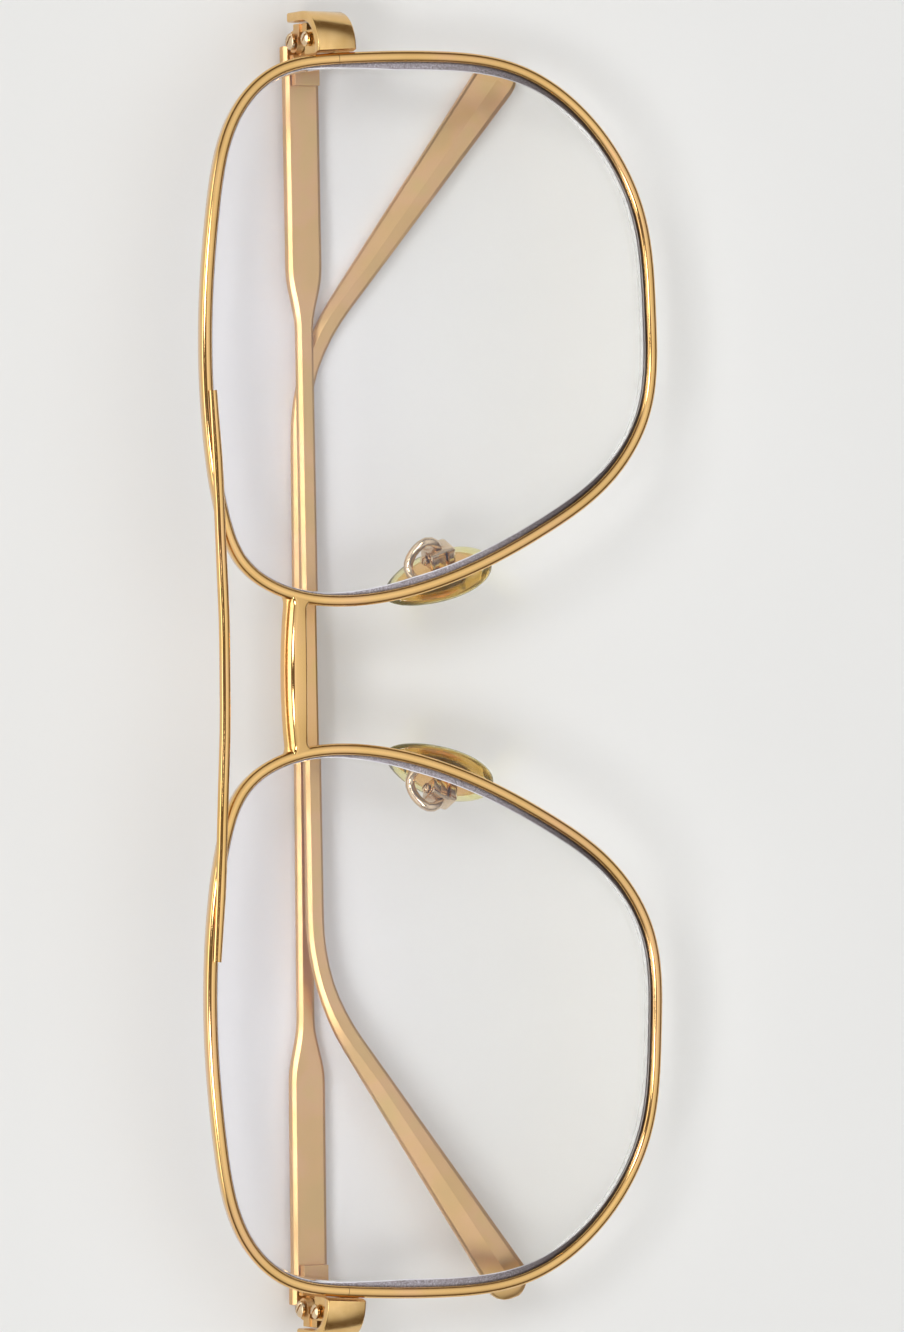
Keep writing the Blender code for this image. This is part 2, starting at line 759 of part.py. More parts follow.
def build_pad_box(frame):
    """The small open box that holds the pad's lug, with its screw bore."""
    axis = -pad_axis_depth
    half = box_deep / 2
    box = add_object("pad_box_left", block((-box_long / 2, -box_wide / 2, axis - half),
                                           (box_long / 2, box_wide / 2, axis + half)), gold)
    edge = box.modifiers.new("edges", "BEVEL")
    edge.width = box_corner
    edge.segments = 2
    apply_modifiers(box)
    slot = lug_long / 2 + running
    drill(box, block((-slot, -box_wide, axis - lug_end_radius - seam), (slot, box_wide, axis + box_deep)),
          cylinder(Vector((-box_long, 0, axis)), Vector((box_long, 0, axis)), pad_screw_radius + running, 12))
    return place(box, frame)


def build_pad_screw(frame):
    foot = Vector((-box_long / 2 + screw_short, 0, -pad_axis_depth))
    seat = Vector((box_long / 2 + running, 0, -pad_axis_depth))
    screw = screw_along(foot, seat, pad_screw_radius, pad_head_radius, pad_head_height, sides=12)
    return place(add_object("pad_screw_left", screw, screw_gold), frame)


def build_pad_arm(points, frame):
    """A bent wire from the rim's back to the back of the pad's box, with each end square to what it meets."""
    wire_end = -pad_axis_depth - box_deep / 2 - seam
    box_back = frame @ Vector((0, 0, wire_end))
    box_side = frame @ Vector((1.2 * arm_diameter, 0, wire_end - 1.1 * arm_diameter))
    foot = nasal_point(points, pad_height + arm_rise)
    arm_foot = below_dome(foot.x, foot.y, rim_depth + seam)
    route = [arm_foot, arm_foot + Vector((0.1, 0.4, -1.7)) * arm_diameter,
             arm_foot + Vector((1.6, 1.0, -3.1)) * arm_diameter, box_side, box_back]
    dense = cubic_through(route, closed=False)
    count = 16
    path = spaced(dense, np.linspace(0, curve_length(dense), count))
    directions = [-dome_normal(foot.x, foot.y)]
    directions += [(path[k + 1] - path[k - 1]).normalized() for k in range(1, count - 1)]
    directions.append(frame.to_3x3() @ Vector((0, 0, 1)))
    rows = []
    side = Vector((0, 1, 0))
    for point, ahead in zip(path, directions):
        side = (side - ahead * side.dot(ahead)).normalized()
        up = ahead.cross(side)
        turns = [2 * pi * (j + 0.5) / 10 for j in range(10)]
        rows.append([point + (side * cos(t) + up * sin(t)) * arm_diameter / 2 for t in turns])
    return add_object("pad_arm_left", loft(rows), gold)


def place(obj, frame):
    """Moves a piece's mesh from pad coordinates to the front's."""
    obj.data.transform(frame)
    return obj


def pad_frame():
    """Left pad's place: its length slopes with the rim's nasal side and its back edge splays outward."""
    along = Vector((-sin(pad_slope), cos(pad_slope), 0))
    back = Vector((sin(pad_splay), 0, -cos(pad_splay)))
    across = (back - along * back.dot(along)).normalized()
    to_nose = along.cross(across)
    if to_nose.x > 0:
        across = -across
        to_nose = -to_nose
    centre = Vector((pad_reach, pad_height, -pad_depth))
    frame = Matrix((along, across, to_nose)).transposed().to_4x4()
    frame.translation = centre
    return frame


# Assembly


def hinge_empty(name, location, turn):
    empty = bpy.data.objects.new(name, None)
    empty.empty_display_size = barrel_length
    empty.location = location
    empty.rotation_euler = (0, turn, 0)
    bpy.context.collection.objects.link(empty)
    return empty


def hang(obj, parent):
    """Keeps a mesh where it is while its origin moves to the parent's axis."""
    bpy.context.view_layer.update()
    obj.data.transform(parent.matrix_world.inverted())
    obj.parent = parent


def build_all():
    points, outward = rim_points()

    def side_trim():
        return rim_envelope(points, outward, strip_thick, seam)

    def both_sides(above, below):
        left = rim_envelope(points, outward, above, below)
        right = rim_envelope(points, outward, above, below)
        bmesh.ops.transform(right, matrix=Matrix.Diagonal((-1, 1, 1, 1)), verts=right.verts)
        return left, right

    front = [build_rim(points, outward), build_lens(points, outward), build_end_piece(side_trim)]
    front += build_rim_lock(side_trim)
    build_brow_bar(lambda: both_sides(seam, seam))
    build_bridge(points, lambda: both_sides(bridge_deep, bridge_deep))

    hinge_left = hinge_empty("hinge_axis_left", Vector((pivot_x, hinge_height, pivot_z)),
                             pi / 2 + left_overfold)
    hinge_right = hinge_empty("hinge_axis_right", Vector((-pivot_x, hinge_height, pivot_z)),
                              -pi / 2 - right_overfold)
    at_hinge = Matrix.Translation(hinge_left.location)
    front += [place(build_front_leaf(), at_hinge), place(build_hinge_screw(), at_hinge)]

    frame = pad_frame()
    front += [build_pad_box(frame), build_pad_screw(frame), build_pad_arm(points, frame)]
    pads = [build_pad(frame), build_insert(frame)]

    for part in front:
        mirrored(part, part.name.replace("_left", "_right"))
    axis_point = frame @ Vector((0, 0, -pad_axis_depth))
    pad_left = hinge_empty("pad_axis_left", axis_point, 0)
    pad_right = hinge_empty("pad_axis_right", Vector((-axis_point.x, axis_point.y, axis_point.z)), 0)
    for part in pads:
        copy = mirrored(part, part.name.replace("_left", "_right"))
        hang(part, pad_left)
        hang(copy, pad_right)

    leaf = build_temple_leaf()
    mirrored(leaf, "hinge_leaf_temple_right", hinge_right)
    leaf.parent = hinge_left
    build_temple("temple_left", left_ear_drop).parent = hinge_left
    other = build_temple("temple_other", right_ear_drop)
    mirrored(other, "temple_right", hinge_right)
    bpy.data.objects.remove(other, do_unlink=True)

    stand_on_table()


def stand_on_table():
    """Lifts everything so that the lowest point of the folded temples is at Z = 0."""
    bpy.context.view_layer.update()
    lowest = min((obj.matrix_world @ vertex.co).z
                 for obj in bpy.data.objects if obj.type == "MESH" for vertex in obj.data.vertices)
    for obj in bpy.data.objects:
        if obj.parent is None:
            obj.location.z -= lowest
    bpy.context.view_layer.update()
    for obj in bpy.data.objects:
        if obj.type == "EMPTY":
            print(obj.name, [round(v, 6) for v in obj.matrix_world.translation])
    along = pad_frame().to_3x3() @ Vector((1, 0, 0))
    print("pad axis direction, left side", [round(v, 4) for v in along])


for old in list(bpy.data.objects):
    bpy.data.objects.remove(old, do_unlink=True)

gold = material("polished_gold", (0.83, 0.60, 0.28), 0.18, 1.0)
satin_gold = material("satin_gold", (0.76, 0.57, 0.30), 0.34, 1.0)
temple_gold = material("champagne_gold", (0.80, 0.66, 0.47), 0.36, 1.0)
screw_gold = material("screw_gold", (0.80, 0.62, 0.36), 0.25, 1.0)
clear_lens = material("clear_lens", (0.93, 0.92, 0.98), 0.02, 0.0, 1.0)
clear_pad = material("clear_pad", (0.90, 0.91, 0.78), 0.12, 0.0, 0.9)

build_all()
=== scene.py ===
"""Finishes, smooth surfaces, light, floor and camera for the folding metal navigator glasses.

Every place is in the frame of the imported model: +X towards the wearer's left, +Y towards the brow, +Z out
of the front. The folded glasses lie on the plane Z = 0.
"""

import json
from math import atan2, cos, hypot, radians, sin

import bmesh
import bpy
from mathutils import Matrix, Vector


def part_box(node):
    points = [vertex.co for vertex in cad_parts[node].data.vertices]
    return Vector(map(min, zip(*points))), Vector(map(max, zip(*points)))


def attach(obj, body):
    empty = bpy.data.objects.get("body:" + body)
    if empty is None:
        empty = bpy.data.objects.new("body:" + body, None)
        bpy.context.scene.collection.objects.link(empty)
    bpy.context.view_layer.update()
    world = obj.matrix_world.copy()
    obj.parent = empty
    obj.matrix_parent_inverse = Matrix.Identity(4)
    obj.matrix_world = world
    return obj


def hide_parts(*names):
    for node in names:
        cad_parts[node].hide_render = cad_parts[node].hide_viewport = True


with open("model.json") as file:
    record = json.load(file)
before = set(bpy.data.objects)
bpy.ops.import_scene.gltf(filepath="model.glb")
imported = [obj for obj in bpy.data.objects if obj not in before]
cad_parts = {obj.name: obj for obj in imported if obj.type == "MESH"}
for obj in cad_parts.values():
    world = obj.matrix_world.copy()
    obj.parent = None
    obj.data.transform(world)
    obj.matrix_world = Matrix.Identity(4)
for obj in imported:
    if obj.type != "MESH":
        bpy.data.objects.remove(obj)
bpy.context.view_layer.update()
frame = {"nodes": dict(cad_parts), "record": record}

mm = 0.001

# The curve that both lenses follow, and the rims' and lenses' sections, as in the CAD model
front_radius = 130.0 * mm
wrap_shift = 6.0 * mm
rim_wall = 1.25 * mm
rim_depth = 1.9 * mm
groove_depth = 0.50 * mm
groove_width = 0.90 * mm
groove_front = 0.50 * mm
lens_play = 0.10 * mm
lens_set_back = 0.70 * mm
lens_thickness = 1.7 * mm
bridge_deep = 2.0 * mm
pad_slope = radians(20)
pad_splay = radians(34)

# How the CAD meshes are cleaned before their edges are broken
weld_reach = 0.002 * mm
flat_angle = radians(0.8)
quad_angle = radians(30)    # most bend between two triangles that become one face
quad_skew = radians(60)
sharp_angle = 40            # degrees between faces that keep an edge sharp
wire_angle = 50             # the same on round wires

# Details that only show
rim_stations = 260
split_line = 0.05 * mm      # the closed split of the rim at its lock
rim_crown = 0.50 * mm       # height of the rim wire's rounded front
rim_back_crown = 0.38 * mm
band_depth = 0.78 * mm      # from the rim's front down to the ground band of the lens's edge
band_thick = 0.05 * mm
band_temple = 0.78 * mm     # widest the band gets beside the temples, the nose and the cheek
band_nose = 0.62 * mm
band_cheek = 0.03 * mm
band_least = 0.05 * mm
band_temple_power = 2.8     # the higher, the sooner the band thins away from the middle of its side
band_nose_power = 2.2
band_top = 14.0 * mm        # the band fades out between these heights towards the brow
band_full = 3.0 * mm
# width of the ring inside the band whose colour is a painted highlight line
glint_width = 0.10 * mm
bridge_stations = 64
bridge_face = 2.53 * mm     # the bridge's front face, measured from the photograph
bridge_rise = 1.02 * mm     # upper edge's arch
bridge_sag = 0.46 * mm      # lower edge's arch
bridge_sink = 0.10 * mm     # the bridge's ends under the crown of the rim
bridge_round = 0.38 * mm    # three of the bridge's corners
# The fourth corner, from its face to its top: each radius with the degrees between which it turns
bridge_slope = ((0.70 * mm, 90, 39), (6.5 * mm, 39, 31), (0.25 * mm, 31, 0))
fillet_start = 0.86         # share of the half length where the fillets begin
fillet_power = 2.2          # how late they widen
fillet_upper = 0.55 * mm
fillet_lower = 0.75 * mm
crisp_angle = radians(14)   # least bend between faces that keeps an edge along the temple crisp
corner_angle = radians(35)  # and an edge anywhere on it
along_share = 0.7           # least part of an edge's direction that counts as along the temple
tip_round = 2.6 * mm        # the temple's last stretch, which is round
foil_share = 0.80           # gold plate in the pad, as a share of the pad's outline
foil_taper = 0.16           # how much narrower the plate gets towards the brow
foil_edge = 0.93            # the outline of its two faces, as a share of its middle's
foil_thick = 0.25 * mm
hinge_head = 0.90 * mm      # radii of the screw heads
lock_head = 0.80 * mm
pad_head = 0.55 * mm
slot_width = 0.22 * mm      # screwdriver slots
slot_depth = 0.20 * mm
slot_reach = 1.3            # half length of a slot's cutter, as a share of the head's radius

# Rounds along the edges
temple_edge = 0.16 * mm
strip_edge = 0.10 * mm
leaf_edge = 0.08 * mm
box_edge = 0.06 * mm
wire_edge = 0.04 * mm
screw_edge = 0.03 * mm

# Heights towards the brow, in millimetres, between which the lens's painted reflection and the light it lets
# through change, and its edge's painted shade
painted_light_heights = (-14.0, 27.0)
shade_heights = (-19.0, 1.0)

# Camera, light and floor
view_tilt = radians(27)
view_roll = radians(-0.45)
view_distance = 0.9
view_target = Vector((0.88, -0.55, 15.8)) * mm
view_height = 142.77 * mm
sensor_width = 36.0
floor_half = 2.5            # metres
floor_gap = 0.02 * mm       # between the floor and the plane that the glasses lie on
world_level = 1.16
sky_stops = [(0.0, (0.12, 0.09, 0.06)), (0.40, (0.14, 0.11, 0.08)), (0.64, (0.58, 0.584, 0.590)),
             (0.88, (0.785, 0.795, 0.810)), (1.0, (0.975, 0.985, 1.0))]  # from the horizon up
window_light = (2.1, 2.13, 2.17)
window_up = (0.36, 0.26)    # how far up, sideways and towards the brow it is gone, and full
window_away = (0.62, 0.46)
window_brow = (0.30, 0.60)
stand_dark = (0.13, 0.10, 0.07)
stand_up = (0.46, 0.56)     # the same for the camera's stand
stand_away = (0.21, 0.12)
stand_brow = (0.10, 0.25)
camera_angles = (10, 18)    # degrees from the camera where the dark round it is full, and gone
box_light = (11.2, 11.35, 11.6)
box_angles = (5.5, 9.5)     # the same for a soft box's light
box_turn = radians(21)      # soft boxes to each side of the brow direction
box_height = radians(45)    # and above the floor


# Node helpers


# The Mix node's colour sockets share their names with its number sockets, so they go by place
mix_first = 6
mix_second = 7
mix_result = 2


def new_material(name):
    mat = bpy.data.materials.new(name)
    mat.use_nodes = True
    tree = mat.node_tree
    return mat, tree, tree.nodes["Principled BSDF"]


def coordinates(tree, stretch=(1, 1, 1)):
    """Object coordinates in millimetres, stretched for grain that runs one way."""
    source = tree.nodes.new("ShaderNodeTexCoord")
    mapping = tree.nodes.new("ShaderNodeMapping")
    mapping.inputs["Scale"].default_value = [s / mm for s in stretch]
    tree.links.new(source.outputs["Object"], mapping.inputs["Vector"])
    return mapping.outputs["Vector"]


def noise(tree, vector, scale, detail=3.0, roughness=0.55):
    node = tree.nodes.new("ShaderNodeTexNoise")
    node.inputs["Scale"].default_value = scale
    node.inputs["Detail"].default_value = detail
    node.inputs["Roughness"].default_value = roughness
    tree.links.new(vector, node.inputs["Vector"])
    return node.outputs["Fac"]


def between(tree, value, low, high, start=0.3, end=0.7, curve="LINEAR"):
    """Spreads a value that runs from start to end between two numbers."""
    node = tree.nodes.new("ShaderNodeMapRange")
    node.interpolation_type = curve
    node.inputs["From Min"].default_value = start
    node.inputs["From Max"].default_value = end
    node.inputs["To Min"].default_value = low
    node.inputs["To Max"].default_value = high
    tree.links.new(value, node.inputs["Value"])
    return node.outputs["Result"]


def brow_height(tree, low, high, curve="LINEAR"):
    """Zero at the low height and one at the high one, in millimetres towards the brow."""
    split = tree.nodes.new("ShaderNodeSeparateXYZ")
    tree.links.new(coordinates(tree), split.inputs["Vector"])
    return between(tree, split.outputs["Y"], 0.0, 1.0, low, high, curve)


def maths(tree, operation, first, second=None):
    node = tree.nodes.new("ShaderNodeMath")
    node.operation = operation
    tree.links.new(first, node.inputs[0])
    if second is not None:
        tree.links.new(second, node.inputs[1])
    return node.outputs["Value"]


def colours(tree, value, stops):
    """A colour ramp over (place, linear colour) stops."""
    node = tree.nodes.new("ShaderNodeValToRGB")
    ramp = node.color_ramp
    while len(ramp.elements) < len(stops):
        ramp.elements.new(0.5)
    for element, (place, colour) in zip(ramp.elements, stops):
        element.position = place
        element.color = (*colour, 1)
    tree.links.new(value, node.inputs["Fac"])
    return node.outputs["Color"]


def bump(tree, shader, height, strength, distance):
    node = tree.nodes.new("ShaderNodeBump")
    node.inputs["Strength"].default_value = strength
    node.inputs["Distance"].default_value = distance
    tree.links.new(height, node.inputs["Height"])
    tree.links.new(node.outputs["Normal"], shader.inputs["Normal"])


# Materials


def metal(name, rough, patch, stops, grain, grain_strength, grain_size):
    """A plated metal: slow colour drift, roughness that varies with handling, and a fine surface grain.

    patch and grain_size are noise scales, and grain stretches the noise along each axis.
    """
    mat, tree, shader = new_material(name)
    shader.inputs["Metallic"].default_value = 1.0
    even = coordinates(tree)
    drift = noise(tree, even, patch, 2.0)
    tree.links.new(colours(tree, drift, stops), shader.inputs["Base Color"])
    wear = noise(tree, even, 1.7, 4.0, 0.6)
    tree.links.new(between(tree, wear, *rough), shader.inputs["Roughness"])
    along = coordinates(tree, grain)
    bump(tree, shader, noise(tree, along, grain_size, 3.0, 0.6), grain_strength, 0.01 * mm)
    return mat


def see_through_shadows(mat, tree, shader, colour):
    """Lets the world's light through a clear material to what lies behind it."""
    clear = tree.nodes.new("ShaderNodeBsdfTransparent")
    tree.links.new(colour, clear.inputs["Color"])
    path = tree.nodes.new("ShaderNodeLightPath")
    mix = tree.nodes.new("ShaderNodeMixShader")
    tree.links.new(path.outputs["Is Shadow Ray"], mix.inputs["Fac"])
    tree.links.new(shader.outputs["BSDF"], mix.inputs[1])
    tree.links.new(clear.outputs["BSDF"], mix.inputs[2])
    tree.links.new(mix.outputs["Shader"], tree.nodes["Material Output"].inputs["Surface"])
    return mat


def lens_material():
    """Clear coated lens, its colour set by height: lighter and lavender towards the brow, a painted
    reflection of the light on that side, and greyer and darker in the middle and at the cheek.
    """
    mat, tree, shader = new_material("clear_lens")
    shader.inputs["Transmission Weight"].default_value = 1.0
    shader.inputs["IOR"].default_value = 1.5
    shader.inputs["Specular IOR Level"].default_value = 0.35
    shader.inputs["Specular Tint"].default_value = (0.86, 0.82, 1.0, 1)
    height = brow_height(tree, *painted_light_heights)
    # painted reflection: lighter and lavender towards the brow, where the lens faces the light; greyer and
    # darker in the middle and at the cheek
    tint_and_painted_reflection = colours(tree, height, [(0.0, (0.914, 0.913, 0.904)), (0.55, (0.896, 0.896, 0.901)),
                                  (1.0, (0.968, 0.962, 1.0))])
    tree.links.new(tint_and_painted_reflection, shader.inputs["Base Color"])
    film = noise(tree, coordinates(tree), 0.6, 2.0)
    tree.links.new(between(tree, film, 0.0, 0.018), shader.inputs["Roughness"])
    # the light let through to what lies behind is also set by height, more towards the brow: painted light
    # and shade behind the lens
    painted_light_through = colours(tree, height, [(0.0, (0.865, 0.861, 0.854)), (0.55, (0.856, 0.854, 0.856)),
                                    (1.0, (0.975, 0.970, 0.998))])
    return see_through_shadows(mat, tree, shader, painted_light_through)


def shaded_at_cheek(tree, colour, dark):
    """Darkens a colour towards the cheek, where the deep rim keeps the light off the lens's edge."""
    height = brow_height(tree, *shade_heights, "SMOOTHSTEP")
    shade = colours(tree, height, [(0.0, dark), (1.0, (1.0, 1.0, 1.0))])
    node = tree.nodes.new("ShaderNodeMix")
    node.data_type = "RGBA"
    node.blend_type = "MULTIPLY"
    node.inputs["Factor"].default_value = 1.0
    tree.links.new(colour, node.inputs[mix_first])
    tree.links.new(shade, node.inputs[mix_second])
    return node.outputs[mix_result]


def ground_edge_material():
    """The ground edge of the lens: grey-violet with fine bright and dark specks."""
    mat, tree, shader = new_material("ground_lens_edge")
    specks = noise(tree, coordinates(tree), 6.0, 4.0, 0.8)
    stops = [(0.32, (0.10, 0.08, 0.07)), (0.45, (0.29, 0.25, 0.25)), (0.56, (0.47, 0.43, 0.47)),
             (0.70, (0.88, 0.86, 0.93))]
    colour = shaded_at_cheek(tree, colours(tree, specks, stops), (0.20, 0.16, 0.13))
    tree.links.new(colour, shader.inputs["Base Color"])
    shader.inputs["Roughness"].default_value = 0.42
    bump(tree, shader, specks, 0.4, 0.02 * mm)
    return mat


def glint_material():
    """A thin ring inside the ground edge, painted near white as a painted highlight line along the lens's
    corner.
    """
    mat, tree, shader = new_material("painted_glint")
    drift = noise(tree, coordinates(tree), 0.8, 2.0)
    # near white: a painted highlight, not the clear glass's own colour
    stops = [(0.3, (0.80, 0.79, 0.83)), (0.7, (0.95, 0.94, 0.97))]
    colour = shaded_at_cheek(tree, colours(tree, drift, stops), (0.55, 0.53, 0.50))
    tree.links.new(colour, shader.inputs["Base Color"])
    shader.inputs["Roughness"].default_value = 0.12
    return mat


def pad_material():
    """Soft clear pad with a yellow tint, slightly cloudy."""
    mat, tree, shader = new_material("clear_pad")
    shader.inputs["Transmission Weight"].default_value = 0.93
    shader.inputs["IOR"].default_value = 1.41
    cloud = noise(tree, coordinates(tree), 0.9, 3.0)
    tint = colours(tree, cloud, [(0.3, (0.97, 0.91, 0.40)), (0.7, (0.99, 0.96, 0.62))])
    tree.links.new(tint, shader.inputs["Base Color"])
    tree.links.new(between(tree, cloud, 0.03, 0.10), shader.inputs["Roughness"])
    bump(tree, shader, noise(tree, coordinates(tree), 6.0, 3.0), 0.05, 0.02 * mm)
    return see_through_shadows(mat, tree, shader, tint)


def floor_material():
    """Pale matt paper."""
    mat, tree, shader = new_material("pale_paper")
    even = coordinates(tree)
    drift = noise(tree, even, 0.012, 3.0)
    stops = [(0.3, (0.839, 0.836, 0.814)), (0.7, (0.857, 0.855, 0.836))]
    tree.links.new(colours(tree, drift, stops), shader.inputs["Base Color"])
    shader.inputs["Roughness"].default_value = 0.85
    shader.inputs["Specular IOR Level"].default_value = 0.15
    bump(tree, shader, noise(tree, even, 3.0, 4.0, 0.7), 0.08, 0.03 * mm)
    return mat


polished_gold = metal("polished_gold", rough=(0.08, 0.13), patch=0.12,
                      stops=[(0.3, (0.78, 0.48, 0.175)), (0.5, (0.83, 0.52, 0.205)),
                             (0.7, (0.84, 0.51, 0.235))],
                      grain=(1, 1, 1), grain_strength=0.03, grain_size=9.0)
satin_gold = metal("satin_gold", rough=(0.15, 0.23), patch=0.5,
                   stops=[(0.3, (0.76, 0.48, 0.18)), (0.7, (0.85, 0.56, 0.24))],
                   grain=(0.12, 3.0, 0.12), grain_strength=0.10, grain_size=6.0)
champagne_gold = metal("champagne_gold", rough=(0.32, 0.37), patch=0.16,
                       stops=[(0.30, (0.69, 0.46, 0.190)), (0.45, (0.73, 0.465, 0.198)),
                              (0.55, (0.76, 0.47, 0.228)), (0.70, (0.71, 0.486, 0.202))],
                       grain=(0.35, 1.6, 1.6), grain_strength=0.018, grain_size=5.0)
pale_gold = metal("pale_gold", rough=(0.12, 0.20), patch=0.6,
                  stops=[(0.3, (0.72, 0.57, 0.40)), (0.7, (0.82, 0.65, 0.45))],
                  grain=(1, 1, 1), grain_strength=0.05, grain_size=6.0)
turned_gold = metal("turned_gold", rough=(0.14, 0.22), patch=0.9,
                    stops=[(0.3, (0.72, 0.52, 0.30)), (0.7, (0.86, 0.68, 0.46))],
                    grain=(0.4, 6.0, 0.4), grain_strength=0.12, grain_size=5.0)
clear_lens = lens_material()
ground_edge = ground_edge_material()
painted_glint = glint_material()
clear_pad = pad_material()


# Mesh helpers


def add_piece(name, bm, mats, angle=sharp_angle):
    """Turns a bmesh into a smooth-shaded object with sharp edges kept by angle."""
    bmesh.ops.recalc_face_normals(bm, faces=bm.faces)
    mesh = bpy.data.meshes.new(name)
    bm.to_mesh(mesh)
    bm.free()
    for mat in mats:
        mesh.materials.append(mat)
    mesh.shade_smooth()
    mesh.set_sharp_from_angle(angle=radians(angle))
    obj = bpy.data.objects.new(name, mesh)
    bpy.context.collection.objects.link(obj)
    return obj


def loft(rows, closed=False):
    """Skins closed sections; a closed loft joins the last to the first, otherwise both ends are capped."""
    bm = bmesh.new()
    skin = [[bm.verts.new(point) for point in row] for row in rows]
    pairs = list(zip(skin, skin[1:]))
    if closed:
        pairs.append((skin[-1], skin[0]))
    for row, following in pairs:
        for k in range(len(row)):
            j = (k + 1) % len(row)
            bm.faces.new((row[k], row[j], following[j], following[k]))
    if not closed:
        bm.faces.new(skin[0])
        bm.faces.new(skin[-1])
    return bm


def arc(centre, half, rise, start, end, steps):
    """Points of an elliptical arc, angles in degrees."""
    turns = [radians(start + (end - start) * k / steps) for k in range(steps + 1)]
    return [(centre[0] + half * cos(t), centre[1] + rise * sin(t)) for t in turns]


def solid_copy(node, merge_flat=True):
    """The CAD node's mesh with its split corners joined, its flat faces merged and its triangles paired."""
    bm = bmesh.new()
    bm.from_mesh(frame["nodes"][node].data)
    bmesh.ops.remove_doubles(bm, verts=bm.verts, dist=weld_reach)
    if merge_flat:
        bmesh.ops.dissolve_limit(bm, angle_limit=flat_angle, verts=bm.verts, edges=bm.edges)
    bmesh.ops.join_triangles(bm, faces=bm.faces, angle_face_threshold=quad_angle,
                             angle_shape_threshold=quad_skew)
    return bm


def body_of_node(node):
    """The body that carries a node."""
    for body, members in frame["record"]["behaviour"]["bodies"].items():
        if node in members:
            return body


def stand_for(piece, node):
    """Puts a piece in a node's place, on the node's body."""
    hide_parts(node)
    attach(piece, body_of_node(node))


def soften(piece, width, angle):
    """Breaks a piece's sharp edges with a small round."""
    bevel = piece.modifiers.new("edges", "BEVEL")
    bevel.width = width
    bevel.segments = 3
    bevel.limit_method = "ANGLE"
    bevel.angle_limit = radians(angle)
    bevel.harden_normals = True
    return bevel


def machined(node, mat, edge, angle=sharp_angle):
    """A rigid piece with its CAD shape and its edges broken."""
    piece = add_piece(node + "_finished", solid_copy(node), [mat], angle)
    soften(piece, edge, angle)
    stand_for(piece, node)


def build_temple(eye):
    """The temple: crisp edges run along it, and its tip's end is smooth all over."""
    node = f"temple_{eye.side}"
    bm = solid_copy(node, merge_flat=False)
    tip = max(-vertex.co.x * eye.sign for vertex in bm.verts)
    weight = bm.edges.layers.float.new("bevel_weight_edge")
    crisp = []
    for number, edge in enumerate(bm.edges):
        way = (edge.verts[1].co - edge.verts[0].co).normalized()
        on_tip = min(-vertex.co.x * eye.sign for vertex in edge.verts) > tip - tip_round
        along = abs(way.x) > along_share and not on_tip
        bend = edge.calc_face_angle(0.0)
        if bend > corner_angle or (along and bend > crisp_angle):
            edge[weight] = 1.0
            crisp.append(number)
    temple = add_piece(node + "_finished", bm, [champagne_gold], angle=180)
    for number in crisp:
        temple.data.edges[number].use_edge_sharp = True
    bevel = soften(temple, temple_edge, angle=180)
    bevel.limit_method = "WEIGHT"
    bevel.harden_normals = False
    flat = temple.modifiers.new("flat_sides", "WEIGHTED_NORMAL")
    flat.weight = 100
    stand_for(temple, node)


# Rims and lenses


def lens_edge(node):
    """The outermost ring of a lens in order round it, and the lens's middle."""
    corners = {tuple(round(c, 7) for c in v.co) for v in frame["nodes"][node].data.vertices}
    low, high = (Vector(corner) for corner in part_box(node))
    middle = (low + high) / 2
    polar = sorted((atan2(y - middle.y, x - middle.x), hypot(x - middle.x, y - middle.y), (x, y, z))
                   for x, y, z in corners)
    near = radians(1.2)
    least = 5 * mm
    ring = [Vector(point) for angle, reach, point in polar
            if reach > least and all(other <= reach for turn, other, _ in polar if abs(turn - angle) < near)]
    return ring, middle


def resampled(ring, count, start, gap):
    """Evenly spaced points along a smooth closed curve, from one side of a gap round to the other."""
    dense = []
    steps = 10
    for k in range(len(ring)):
        a, b, c, d = (ring[(k + number) % len(ring)] for number in (-1, 0, 1, 2))
        for step in range(steps):
            t = step / steps
            # A Catmull-Rom curve from b to c
            dense.append(0.5 * (2 * b + (c - a) * t + (2 * a - 5 * b + 4 * c - d) * t * t
                                + (3 * b - a - 3 * c + d) * t ** 3))
    first = min(range(len(dense)), key=lambda k: (dense[k].xy - start).length)
    dense = dense[first:] + dense[:first + 1]
    along = [0.0]
    for a, b in zip(dense, dense[1:]):
        along.append(along[-1] + (b - a).length)
    points = []
    k = 0
    for number in range(count):
        goal = gap / 2 + (along[-1] - gap) * number / (count - 1)
        while along[k + 1] < goal:
            k += 1
        points.append(dense[k].lerp(dense[k + 1], (goal - along[k]) / (along[k + 1] - along[k])))
    return points


